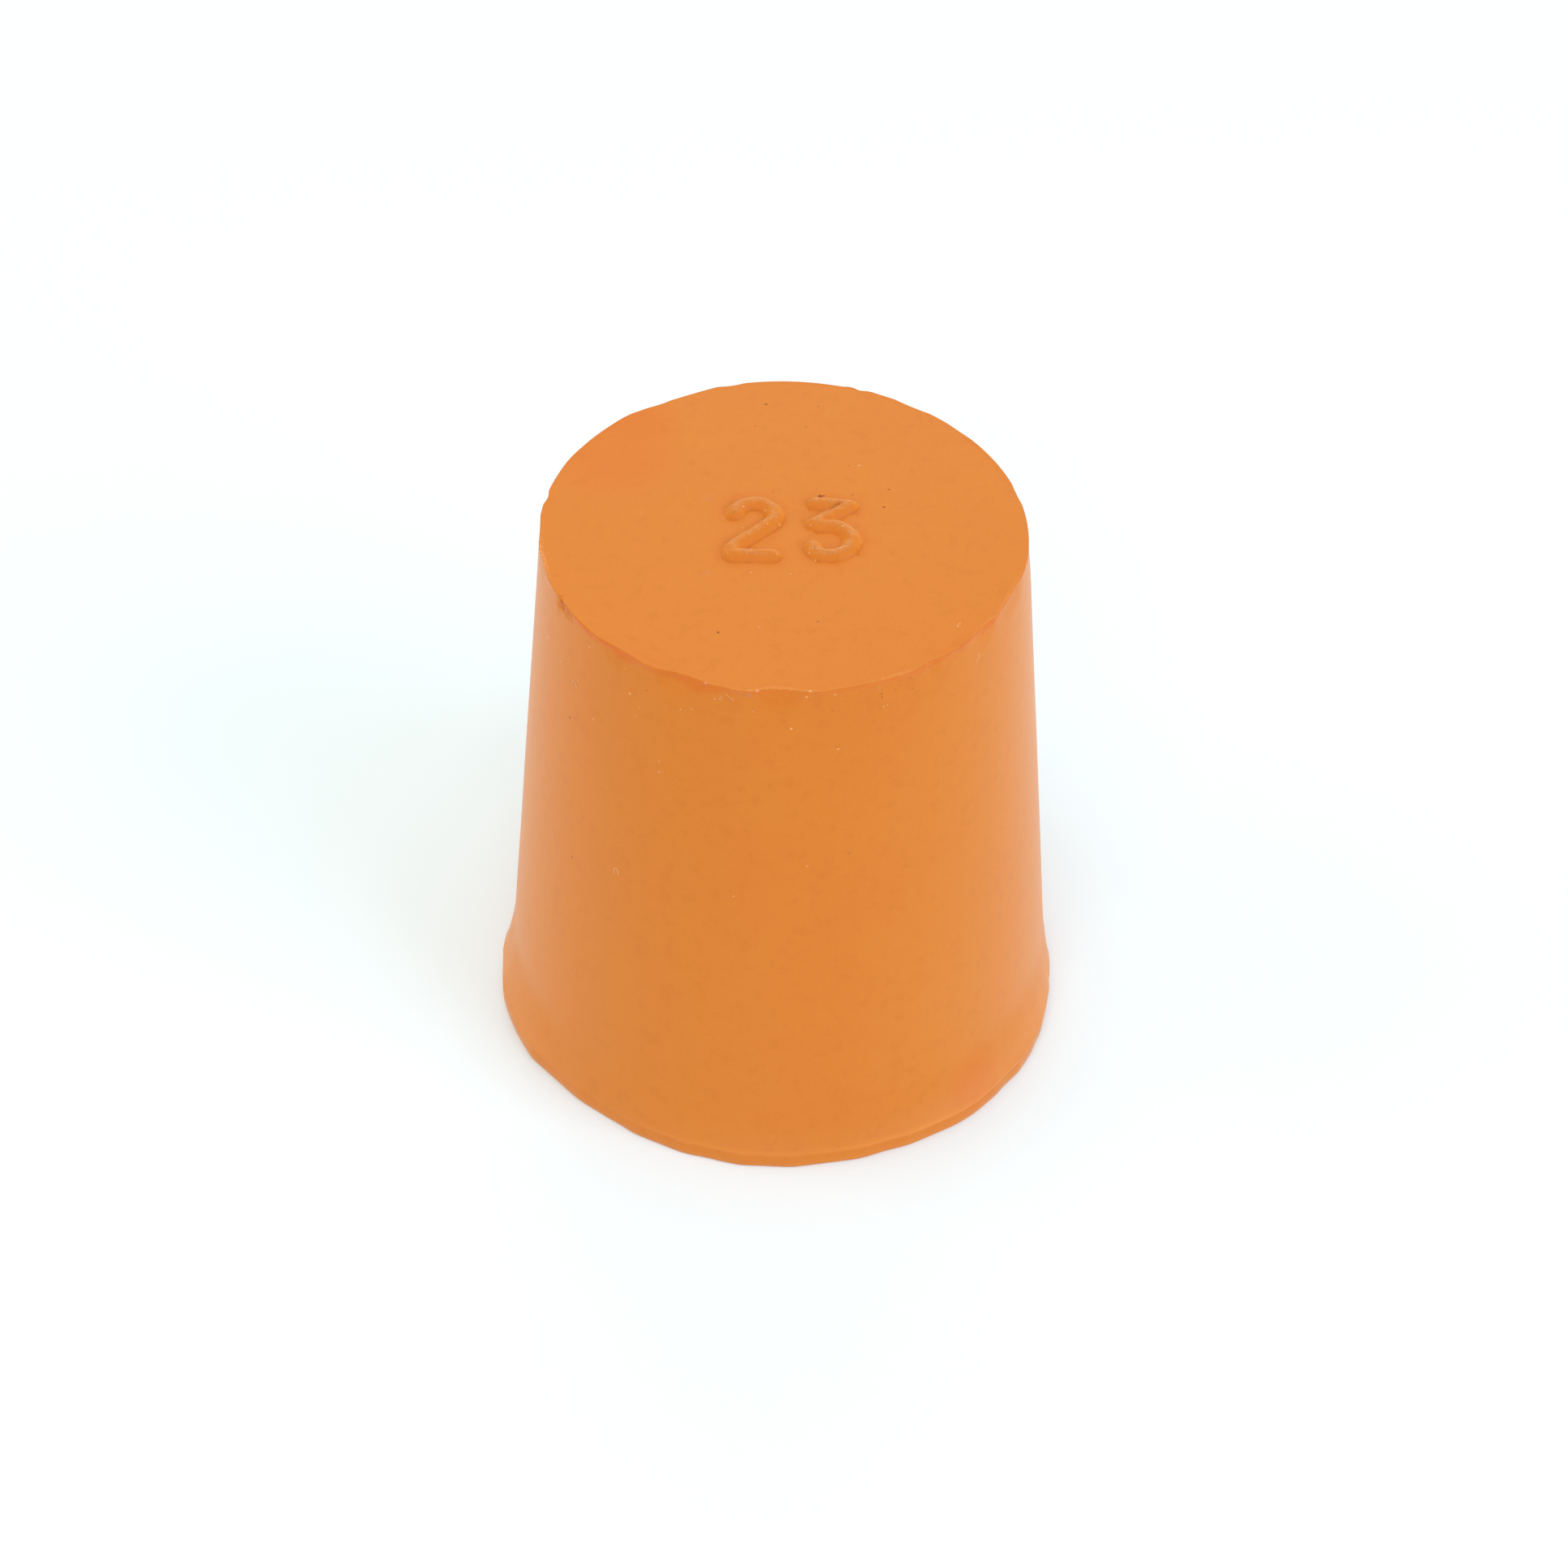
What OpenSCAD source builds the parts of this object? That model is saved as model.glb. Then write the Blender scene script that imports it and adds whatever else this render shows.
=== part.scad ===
// A solid tapered rubber stopper for the neck of a flask or a test tube, cast
// in one piece. It stands on its wide end, small end up. Z runs along its axis
// and the origin is the centre of the wide end. All lengths are millimetres.

/* [Plug] */
// Diameter of the small end, the size that the raised number states
small_d = 23; // [15:1:27]
// Diameter of the tapered flank at the wide end
large_d = 29.1; // [28:0.1:45]
// Height between the two ends
height = 30; // [18:0.1:50]

/* [Flash lip] */
// How far the uncut flash stands out from the flank round the wide end
flash_out = 0.65; // [0.5:0.05:1]
// Thickness of the flash at its outer edge
flash_t = 0.2; // [0.1:0.05:0.6]
// Radius of the hollow fillet between the flank and the flash
flash_fillet = 2; // [1.5:0.1:4]

/* [Trimmed rim] */
// Depth of the deepest knife cut across the small end
rim_cut = 0.2; // [0.05:0.05:0.5]
// Slope from upright of the knife cuts round the small end
cut_slope = 30; // [20:5:50]
// Direction of the nick torn out of the small end's rim, in degrees
nick_at = -150; // [-180:5:180]
// Radius of the scoop that forms the nick
nick_r = 1.6; // [1:0.1:3]
// How far the nick bites into the rim
nick_depth = 0.3; // [0.1:0.05:0.6]

/* [Size number] */
// Overall height of the raised digits
number_h = 5; // [4:0.1:6]
// Width of a digit's stroke at its foot
stroke_foot = 1; // [0.6:0.05:1.2]
// Width of a digit's stroke along its top
stroke_top = 0.35; // [0.2:0.05:0.6]
// Height that the digits stand up from the face
relief = 0.37; // [0.2:0.01:1]
// Clear space between two digits
digit_gap = 0.75; // [0.5:0.05:2]
// Sideways shift of the number from the middle of the face
number_x = 0.4; // [-1:0.01:1]
// Shift of the number towards the back of the face
number_y = -0.28; // [-1:0.01:1]

/* [Hidden] */
$fn = 180;

small_r = small_d / 2;
large_r = large_d / 2;
taper = atan((large_r - small_r) / height);

flash_r = large_r + flash_out;

// Square to the flank, how far the flash's edge stands off it, and along the
// flank, how far up from that edge the hollow fillet leaves it
reach = (flash_out + flash_t * tan(taper)) * cos(taper);
rise = sqrt(reach * (2 * flash_fillet - reach));

// The fillet's centre
fillet_r = flash_r + (flash_fillet - reach) * cos(taper) - rise * sin(taper);
fillet_z = flash_t + (flash_fillet - reach) * sin(taper) + rise * cos(taper);

// Knife cuts round the flash, evenly spaced from the right by way of the back:
// the share of the flash that each leaves standing. The front is cut nearly
// flush, and two stretches, at the left and at the right front, are nearly whole.
FLASH_SHARES = [
    0.38, 0.15, 0.25, 0.42, 0.40, 0.22, 0.36, 0.50, 0.38, 0.20, 0.28, 0.42, 0.36, 0.20, 0.40,
    0.75, 0.92, 0.72, 0.52, 0.04, 0.02, 0.08, 0.10, 0.10, 0.06, 0.36, 0.68, 0.80, 0.80, 0.56,
];

// Knife cuts round the small end's rim, [direction, share of the full depth]
RIM_CUTS = [
    [-129, 0.6], [-112, 1], [-90, 0.75], [-53, 0.4], [-38, 0.35],
    [14, 0.4], [42, 0.3], [57, 0.65], [104, 0.55], [121, 0.85], [170, 0.35],
];

// Strokes of the digits 0 to 9, on a grid ten units tall with its baseline at
// y = 0. A stroke starts at [x, y, heading] and makes moves [length, turn,
// radius]: each runs straight, then turns, to the left where turn is positive.
// A radius of 0 is a sharp corner.
DIGITS = [
    [[[4.8, 5, 90], [2.6, 180, 2.4], [5.2, 180, 2.4], [2.6, 0, 0]]],
    [[[0, 8.2, 42], [2.4, -132, 0], [9.8, 0, 0]]],
    [[[0.1, 7.9, 80], [0, -215, 2.4], [5.25, 45, 1.5], [0.8, 90, 0], [4.6, 0, 0]]],
    [[[0.5, 10, -6], [3.9, -134, 0], [5.3, 0, 0]],
     [[0.85, 5.85, 0], [1.1, -90, 2.75], [0, -90, 2.65], [0.5, -90, 1.4], [0.1, 0, 0]]],
    [[[3.5, 10, -116], [8, 116, 0], [5, 0, 0]], [[3.5, 5, -90], [5, 0, 0]]],
    [[[3.8, 10, 180], [3.6, 90, 0], [4.2, 90, 0], [0.9, -90, 2.9], [0, -110, 2.9]]],
    [[[3.3, 10, 220], [2.4, 50, 4], [3, 330, 2.4]]],
    [[[0, 10, 0], [4.8, -112, 0], [10.8, 0, 0]]],
    [[[2.8, 5.6, 0], [0, 180, 2.2], [0, 180, 2.2]], [[2.8, 5.6, 0], [0, -180, 2.8], [0, -180, 2.8]]],
    [[[1.5, 0, 40], [2.4, 50, 4], [3, 330, 2.4]]],
];
// Width of each digit on that grid, between the middle lines of its strokes
DIGIT_W = [4.8, 1.8, 4.9, 4.7, 5, 4.1, 4.8, 4.8, 5.6, 4.8];
GRID_UNITS = 10;
grid = (number_h - stroke_foot) / GRID_UNITS;

// How deep the strokes' feet run into the face
root = 0.2;

// The number is the small end's diameter, to the nearest millimetre
size = round(small_d);
tens = floor(size / 10);
ones = size % 10;
ones_x = DIGIT_W[tens] * grid + stroke_foot + digit_gap;
middle_lines_w = ones_x + DIGIT_W[ones] * grid;

// Where two straight cuts meet, each [direction, distance from the axis]
function corner(a, b) =
    [a[1] * sin(b[0]) - b[1] * sin(a[0]), b[1] * cos(a[0]) - a[1] * cos(b[0])] / sin(b[0] - a[0]);

// Knife cut number i round the flash: its direction and its distance from the axis
function flash_cut(i) =
    let (n = len(FLASH_SHARES)) [i * 360 / n, large_r + FLASH_SHARES[i % n] * flash_out];

// The space inside every cut round the flash
module inside_cuts()
    linear_extrude(height) polygon([
        for (i = [0:len(FLASH_SHARES) - 1]) corner(flash_cut(i), flash_cut(i + 1))
    ]);

// Half of the plug's section: straight flank, hollow fillet and flash
module half_section()
    difference() {
        polygon([
            [0, 0], [flash_r, 0], [flash_r, fillet_z],
            [fillet_r - flash_fillet * cos(taper), fillet_z - flash_fillet * sin(taper)],
            [small_r, height], [0, height],
        ]);
        translate([fillet_r, fillet_z]) circle(r = flash_fillet);
    }

// The plug without its number: the moulded shape, trimmed and nicked
module plug()
    difference() {
        intersection() {
            rotate_extrude() half_section();
            inside_cuts();
        }
        for (cut = RIM_CUTS)
            rotate(cut[0]) translate([small_r - cut[1] * rim_cut, 0, height]) rotate([0, -cut_slope, 0])
                translate([0, -small_r, -small_r]) cube([small_r, small_d, small_d]);
        rotate(nick_at) translate([small_r - nick_depth + nick_r, 0, height])
            sphere(r = nick_r);
    }

// Section of a digit's stroke from its middle line outwards
module stroke_side()
    polygon([
        [0, -root], [stroke_foot / 2, -root], [stroke_foot / 2, 0], [stroke_top / 2, relief], [0, relief],
    ]);

module stroke_section() {
    stroke_side();
    mirror([1, 0]) stroke_side();
}

// A straight run from the origin along +X
module straight(length)
    if (length > 0) rotate([90, 0, 90]) linear_extrude(length) stroke_section();

// A bend from the origin, heading along +X. With no radius it rounds the outer
// side of a corner.
module bend(turn, radius) {
    side = sign(turn);
    if (side != 0)
        translate([0, side * radius, 0]) rotate(side > 0 ? -90 : 90 + turn)
            rotate_extrude(angle = abs(turn))
                if (radius > 0) translate([radius, 0]) stroke_section(); else stroke_side();
}

// The moves of a stroke from number i on, each where the last one ended, and
// the round end
module moves(list, i) {
    if (i < len(list)) {
        length = list[i][0] * grid;
        turn = list[i][1];
        radius = list[i][2] > 0 ? max(list[i][2] * grid, stroke_foot / 2) : 0;
        side = sign(turn);
        straight(length);
        translate([length, 0, 0]) {
            bend(turn, radius);
            translate([0, side * radius, 0]) rotate(turn) translate([0, -side * radius, 0])
                moves(list, i + 1);
        }
    } else bend(180, 0);
}

module digit(value)
    for (stroke = DIGITS[value])
        translate([stroke[0][0] * grid, stroke[0][1] * grid, 0]) rotate(stroke[0][2]) {
            rotate(180) bend(180, 0);
            moves(stroke, 1);
        }

module size_number()
    translate([number_x - middle_lines_w / 2, number_y - GRID_UNITS / 2 * grid, height]) {
        digit(tens);
        translate([ones_x, 0, 0]) digit(ones);
    }

module stopper()
    color("#e08a45") {
        plug();
        size_number();
    }

stopper();
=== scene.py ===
# %% [markdown]
# # A rubber stopper, one moulding with a trimmed rim
#
# The real thing is cast in one piece from orange natural rubber. It is a plain
# tapered plug, and what makes it look real is what the maker did to it: a number
# stands up on the small end, a knife has taken the flash off both rims and left
# short flats, a nick and a torn band, and dust clings to the matt skin.
#
# The construction model gives the size and the place of everything. This script
# makes one closed skin of the same form at a finer scale, gives it its finish,
# and sets it on a pale table in soft light.

# %% Load the construction model, which stays as it is
import math

import bpy
import numpy as np
from mathutils import Matrix, Vector


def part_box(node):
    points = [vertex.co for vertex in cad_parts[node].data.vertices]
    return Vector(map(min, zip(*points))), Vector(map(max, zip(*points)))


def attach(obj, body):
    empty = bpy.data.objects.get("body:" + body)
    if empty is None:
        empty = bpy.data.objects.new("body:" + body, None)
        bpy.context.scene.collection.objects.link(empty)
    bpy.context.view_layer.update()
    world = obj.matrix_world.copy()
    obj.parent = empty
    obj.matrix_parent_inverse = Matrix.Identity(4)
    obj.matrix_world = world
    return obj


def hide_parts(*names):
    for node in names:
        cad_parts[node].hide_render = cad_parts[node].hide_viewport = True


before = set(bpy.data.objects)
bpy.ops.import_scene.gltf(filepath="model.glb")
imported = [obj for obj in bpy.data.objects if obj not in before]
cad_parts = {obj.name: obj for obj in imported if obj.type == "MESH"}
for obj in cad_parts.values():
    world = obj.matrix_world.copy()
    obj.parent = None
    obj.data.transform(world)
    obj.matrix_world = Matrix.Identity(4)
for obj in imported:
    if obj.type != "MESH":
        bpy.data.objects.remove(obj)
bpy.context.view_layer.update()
MM = 0.001
low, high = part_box("stopper")
print("box of the stopper in mm", [round(v / MM, 2) for v in (*low, *high)])

# %% [markdown]
# ## Sizes
#
# A mould is cut to round numbers, so the plug has few sizes: two end diameters,
# the height between them, and the flash, the thin skirt that squeezes out where
# the two halves of the mould meet. They are written in millimetres, as on the
# maker's drawing, and turn into metres only when the mesh is made.

# %% The plug's sizes, in millimetres
RELIEF = 0.37  # height of the raised number
SMALL_R = 11.5
LARGE_R = 14.55
HEIGHT = high.z / MM - RELIEF
SLOPE = (LARGE_R - SMALL_R) / HEIGHT  # how much the radius grows for each mm down
TAPER = math.atan(SLOPE)
FLASH_OUT = 0.65
WALL_T = 1.05  # height of the wall that the knife left below the flash's edge
print(f"height {HEIGHT:.2f}, taper {math.degrees(TAPER):.2f} degrees a side")

# %% [markdown]
# ## Marks that run round a rim
#
# A knife leaves shallow scoops and flats, each with a middle and a width. A list
# of marks, added up as smooth or as sharp-edged bumps, is easy to read and to
# change, and a single function can turn any such list into an outline.

# %% Add up a list of marks round the axis
def marks(direction, features, sharp=False):
    """Sum of bumps round the axis. A mark is (middle, half width, height): at the
    share s of its half width away from the middle it adds height times 1 - s^2,
    squared unless the mark is sharp-edged, and beyond it nothing."""
    middle, half, height = np.array(features, float).T
    turn = (direction[..., None] - middle + 180) % 360 - 180
    bump = np.clip(1 - (turn / half) ** 2, 0, None)
    return (height * (bump if sharp else bump**2)).sum(-1)


def ripple(points, wavelength, seed, waves=14):
    """Soft unevenness between about -1 and 1: plane waves of nearly one length,
    in directions and phases drawn from a seeded generator, added up."""
    draw = np.random.default_rng(seed)
    heading = draw.normal(size=(waves, 3))
    heading /= np.linalg.norm(heading, axis=1, keepdims=True)
    number = 2 * np.pi / (wavelength * draw.uniform(0.7, 1.4, waves))
    phase = draw.uniform(0, 2 * np.pi, waves)
    return np.sin(points @ (heading * number[:, None]).T + phase).sum(-1) * np.sqrt(2 / waves) / 2


def ease(start, end, value):
    """Smooth step: 0 before start, 1 after end, with level ends."""
    share = np.clip((value - start) / (end - start), 0, 1)
    return share * share * (3 - 2 * share)


# %% [markdown]
# ## The small end's rim
#
# The rim was trimmed by hand. Most of it keeps a fine burr that stands out by
# less than a tenth of a millimetre. Where the knife went deeper there is a scoop,
# and at the left front a crumb is torn out. Below the burr runs a narrow torn
# band. Directions are in degrees: 0 is the right, -90 the front, 180 the left.

# %% Marks on the small end's rim: (direction, half width, millimetres)
BURR = 0.06  # how far the rim stands out where no mark changes it
RIM_BURRS = [
    (-137, 3, 0.03), (-99, 5, 0.09), (-81, 4.5, 0.07), (-60.5, 4, 0.05), (-47, 3, 0.02),
    (68.5, 2.5, 0.04), (74, 2, 0.07), (134, 5, 0.03), (155, 7, 0.03), (90, 14, 0.02),
]
RIM_SCOOPS = [
    (-129, 6, 0.1), (-112.5, 6.5, 0.2), (-90.5, 5.8, 0.21),
    (-54, 2.2, 0.08), (-38, 5, 0.1), (-24, 8, 0.11), (14, 4, 0.05), (28, 38, 0.07),
    (42, 4, 0.03), (57, 5, 0.08), (71.2, 1.4, 0.05), (104, 3.5, 0.09), (119, 12, 0.17),
    (123.5, 3, 0.04), (170, 2.5, 0.09), (-178, 5, 0.06), (-166, 4, 0.05),
]
NICKS = [(-149, 4, 0.05), (-152, 2, 0.08)]
NICK_CRUMBLE = [(-150, 6, 1)]  # where the nick is crumbly, as a share
NICK_STAIN = [(-149.5, 6.2, 1)]  # where the nick is stained, as a share
RIM_BANDS = [
    (-139, 6, 0.16), (-128, 6, 0.22), (-119, 5, 0.12), (-109.5, 6.5, 0.4), (-104.5, 3, 0.15),
    (-90, 7, 0.62), (-59, 8, 0.2), (-35, 9, 0.12), (120, 12, 0.3), (57, 6, 0.2),
]
BAND_T = 0.26  # height of the torn band where no mark widens it
NICK_END = (0.45, 0.75)  # depth below the face over which the nick and its stain fade


def rim_outline(direction):
    """Radius of the rim: the drawn radius and the burr, less scoops and nicks."""
    burr = BURR + marks(direction, RIM_BURRS)
    return SMALL_R + burr - rim_bite(direction)


def rim_bite(direction):
    """How far the scoops and nicks cut in from the drawn rim."""
    return marks(direction, RIM_SCOOPS, sharp=True) + marks(direction, NICKS)


around = np.radians(np.arange(-180, 180, 1.0))
print("rim radius from", rim_outline(np.degrees(around)).min().round(2),
      "to", rim_outline(np.degrees(around)).max().round(2), "mm")

# %% [markdown]
# ## The wide end's lip
#
# The flash round the wide end was cut off with straight strokes, so the outline
# seen from above is a polygon with many unequal sides. Two stretches were hardly
# cut. The nearest cut in each direction gives the outline. A soft minimum, which
# rounds the corners a little, stands for rubber that a knife drags and tears.

# %% Straight cuts round the flash: (direction, distance of the cut from the axis)
FLASH_CUTS = [
    (-176, 14.97), (-170, 15.17), (-163, 15.17), (-157, 15.12), (-151, 15.07), (-143, 15.02),
    (-136, 14.68), (-126, 14.53), (-115, 14.57), (-104, 14.60), (-92, 14.65), (-80, 14.62),
    (-70, 14.70), (-61, 14.84), (-52, 15.04), (-43, 15.07), (-30, 15.16), (-22, 15.1), (-13, 14.94),
    (-4, 14.75), (4, 14.60), (14, 14.62), (26, 14.72), (37, 14.83), (48, 14.80), (60, 14.70),
    (73, 14.78), (84, 14.87), (96, 14.80), (108, 14.68), (121, 14.73), (133, 14.82),
    (145, 14.78), (156, 14.68), (166, 14.66),
]
FLASH_NICKS = [
    (-36.5, 4.5, 0.1), (-24, 2, 0.02), (1.5, 3.5, 0.12), (-104, 3, 0.02),
    (-10, 2, 0.03), (-123, 3, 0.02), (-67, 4, 0.03), (175, 9, 0.27),
]
CUT_REACH = 60  # a cut counts as straight up to this angle from its middle
CORNER_SOFTNESS = 0.03


def flash_outline(direction):
    """Radius of the lip: the soft minimum of the uncut flash and, for each cut, its
    distance from the axis over the cosine of the angle to it."""
    middle, distance = np.array(FLASH_CUTS).T
    turn = (direction[..., None] - middle + 180) % 360 - 180
    reach = distance / np.cos(np.radians(np.clip(turn, -CUT_REACH, CUT_REACH)))
    whole = np.full_like(reach[..., :1], LARGE_R + FLASH_OUT)
    gap = np.concatenate([reach, whole], -1)
    least = gap.min(-1, keepdims=True)
    soft = least[..., 0] - CORNER_SOFTNESS * np.log(np.exp((least - gap) / CORNER_SOFTNESS).sum(-1))
    return soft - marks(direction, FLASH_NICKS)


print("lip radius from", flash_outline(np.degrees(around)).min().round(2),
      "to", flash_outline(np.degrees(around)).max().round(2), "mm")

# %% [markdown]
# ## The raised number
#
# The size number was cut into the mould with a round-nosed tool that followed the
# strokes of each digit, so every digit is a ridge of one width. The way to model
# such a ridge is to work out each point's distance from the stroke's middle line
# and to raise the face by a profile of that distance. Where two strokes meet the
# nearer one wins, and the crease between them comes by itself.

# %% Strokes of the digits on a grid ten units tall
# A stroke starts at (x, y, heading) and makes moves (length, turn, radius): each
# runs straight, then turns, to the left where turn is positive.
GRID = 0.4
NUMBER_AT = (-2.39, -2.28)  # foot of the first digit's left middle line
TWO = [((0.1, 7.9, 80), [(0, -215, 2.4), (5.25, 45, 1.5), (0.8, 90, 0), (4.6, 0, 0)])]
THREE = [
    ((0.5, 10, -6), [(3.9, -134, 0), (5.3, 0, 0)]),
    ((0.85, 5.85, 0), [(1.1, -90, 2.75), (0, -90, 2.65), (0.5, -90, 1.4), (0.1, 0, 0)]),
]
DIGITS = [(0, TWO), (3.71, THREE)]
STROKE_FOOT = 0.5  # half the width of a stroke
CREST_LUMPS = 0.04  # share of the relief that a crest's lumps take off, on average
RAGGED = 0.03  # how far a stroke's side strays from its line
FACE_WAVES = 0.008  # slight unevenness of the face


def stroke_distance(x, y, start, moves):
    """Distance to a stroke's middle line: the least over its straight runs, and
    over its bends for the points that lie within a bend's angle."""
    at = np.array(start[:2], float)
    heading = math.radians(start[2])
    nearest = np.hypot(x - at[0], y - at[1])
    for length, turn, radius in moves:
        ahead = np.array([math.cos(heading), math.sin(heading)])
        along = np.clip((x - at[0]) * ahead[0] + (y - at[1]) * ahead[1], 0, length)
        run = np.hypot(x - at[0] - along * ahead[0], y - at[1] - along * ahead[1])
        nearest = np.minimum(nearest, run)
        side = np.sign(turn)
        hub = at + length * ahead + side * radius * np.array([-ahead[1], ahead[0]])
        swept = side * (np.arctan2(y - hub[1], x - hub[0]) - heading) + np.pi / 2
        inside = np.mod(swept, 2 * np.pi) <= abs(math.radians(turn))
        bend = np.where(inside, np.abs(np.hypot(x - hub[0], y - hub[1]) - radius), np.inf)
        nearest = np.minimum(nearest, bend)
        heading += math.radians(turn)
        at = hub + side * radius * np.array([math.sin(heading), -math.cos(heading)])
    return np.minimum(nearest, np.hypot(x - at[0], y - at[1]))


def number_distance(x, y):
    """Distance in mm to the nearest stroke of either digit."""
    nearest = np.full(np.shape(x), np.inf)
    for shift, strokes in DIGITS:
        for start, moves in strokes:
            u = (x - NUMBER_AT[0] - shift) / GRID
            v = (y - NUMBER_AT[1]) / GRID
            nearest = np.minimum(nearest, GRID * stroke_distance(u, v, start, moves))
    return nearest


def ridge(distance):
    """Height of a stroke's ridge as a share of the relief: 1 - s^2 at the share s of
    the half width, to the power 1.2, which gives a round crest and a soft foot."""
    return np.clip(1 - (distance / STROKE_FOOT) ** 2, 0, None) ** 1.2


def face_height(x, y):
    """Height of the small end: the face, its slight unevenness and the number, whose
    strokes are a little lumpy and ragged."""
    flat = np.stack([x, y, np.zeros_like(x)], -1)
    crest = 1 - CREST_LUMPS * (1 + ripple(flat, 0.6, seed=5))
    ragged = number_distance(x, y) + RAGGED * ripple(flat, 0.5, seed=21)
    waves = FACE_WAVES * (1 + ripple(flat, 5.0, seed=3))
    return HEIGHT + RELIEF * ridge(ragged) * crest - waves


# %% [markdown]
# ## One grid for the small end
#
# The digits need a fine grid, and the rim needs points that run round it. A fine
# rectangle under the number has as many points on its edge as there are columns
# round the flank. Rings in between turn the rectangle into the circle step by
# step, so the face has no pole, no seam and no thin triangles at the number.

# %% Columns round the axis, and the patch under the number
PATCH_NX, PATCH_NY = 176, 144
COLUMNS = 2 * (PATCH_NX + PATCH_NY)
PATCH_MIDDLE = (0.36, -0.35)
PATCH_HALF = (3.65, 2.85)
FACE_RINGS = 20
first = -90 - 180 * PATCH_NX / COLUMNS
DIRECTION = first + np.arange(COLUMNS) * 360 / COLUMNS
SIN, COS = np.sin(np.radians(DIRECTION)), np.cos(np.radians(DIRECTION))
print(COLUMNS, "columns, one every", round(math.radians(360 / COLUMNS) * SMALL_R, 3), "mm at the rim")


def patch_points():
    """Plan of the fine rectangle: a regular grid, rows from front to back."""
    x = PATCH_MIDDLE[0] + PATCH_HALF[0] * np.linspace(-1, 1, PATCH_NX + 1)
    y = PATCH_MIDDLE[1] + PATCH_HALF[1] * np.linspace(-1, 1, PATCH_NY + 1)
    return np.meshgrid(x, y)


def patch_edge():
    """Numbers of the patch's edge points, once round it from its front left corner."""
    number = np.arange((PATCH_NX + 1) * (PATCH_NY + 1)).reshape(PATCH_NY + 1, PATCH_NX + 1)
    return np.concatenate([number[0, :-1], number[:-1, -1], number[-1, :0:-1], number[:0:-1, 0]])


# %% [markdown]
# ## The section of the skin
#
# From the rim down, the skin is a section carried round the axis: a small
# rounding, the burr with the torn band under it, the straight flank, the flare
# and the seam, the lip's knife-cut wall, and the flat base. Each stretch is a
# block of rows, every row one loop of points, and each row may change its radius
# and height with the direction.

# %% Rows of the section: each stretch gives radii and heights, rows by columns
EDGE_ROUND = 0.05


def edge_rows():
    """A quarter round from the face to the flank, at the rim's outline."""
    turn = np.linspace(0, np.pi / 2, 5)[:, None]
    radius = rim_outline(DIRECTION) - EDGE_ROUND * (1 - np.sin(turn))
    return radius, HEIGHT - EDGE_ROUND * (1 - np.cos(turn)) + 0 * radius


def band_height():
    """How far below the rim the torn band ends, in each direction."""
    return BAND_T + marks(DIRECTION, RIM_BANDS)


# Rows of the flank by their depth below the face: close together over the torn
# band, then wider and wider
BAND_ROWS = np.linspace(0.09, 0.72, 15)
UPPER_ROWS = np.geomspace(0.8, 3, 8)
MIDDLE_ROWS = np.linspace(4, HEIGHT - 7, 16)
# Rows over the flare, by their height above the wall, closer and closer to it
FLARE_ROWS = np.array([
    5.05, 4.45, 3.85, 3.25, 2.65, 2.15, 1.65, 1.25, 0.9,
    0.65, 0.47, 0.39, 0.32, 0.25, 0.19, 0.13, 0.08, 0.04,
])
FLARE_T = 3.0  # height over which the flank bells out to the lip
FLARE_BEND = 1.7  # power by which the flare fades upwards
STEP_T = 0.2  # height over which a step from the flare to the lip runs out
BEAD = 0.04  # how far the thin seam of the mould stands out, just above the wall
BEAD_T = 0.1
SEAM_SHINE = [(-58, 30, 1.0), (-98, 34, 0.55)]  # where the seam shows, as a share
TREND = 4  # columns to each side that the trend takes in
FLANK_FULL = [(0, 75, 0.055)]  # where the flank is full, in mm
TORN_ROUGH = 0.012  # unevenness of the torn band
CRUMBLE = 0.06  # unevenness of the nick
SKIN_WAVES = 0.012  # slight unevenness of the whole skin


def lip_trend():
    """The lip's outline without its corners: twice the mean over a few columns to
    each side, and nowhere more than the outline itself."""
    trend = flash_outline(DIRECTION)
    for _ in range(2):
        trend = np.mean([np.roll(trend, shift) for shift in range(-TREND, TREND + 1)], axis=0)
    return np.minimum(trend, flash_outline(DIRECTION))


def flare(height):
    """How far the skin stands off the straight flank: a flare that follows the lip's
    trend and fades upwards as a power of the height that is left, what little step
    remains down to the lip, and a narrow bell on its edge for the seam."""
    foot = LARGE_R - WALL_T * SLOPE
    gentle = np.clip(lip_trend() - foot, 0, None)
    up = height - WALL_T
    bell = gentle * np.clip(1 - up / FLARE_T, 0, 1) ** FLARE_BEND
    step = (flash_outline(DIRECTION) - foot - gentle) * (1 - ease(0, STEP_T, up))
    seam = BEAD * marks(DIRECTION, SEAM_SHINE) * np.exp(-((up / BEAD_T) ** 2))
    return bell + step + seam


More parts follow.
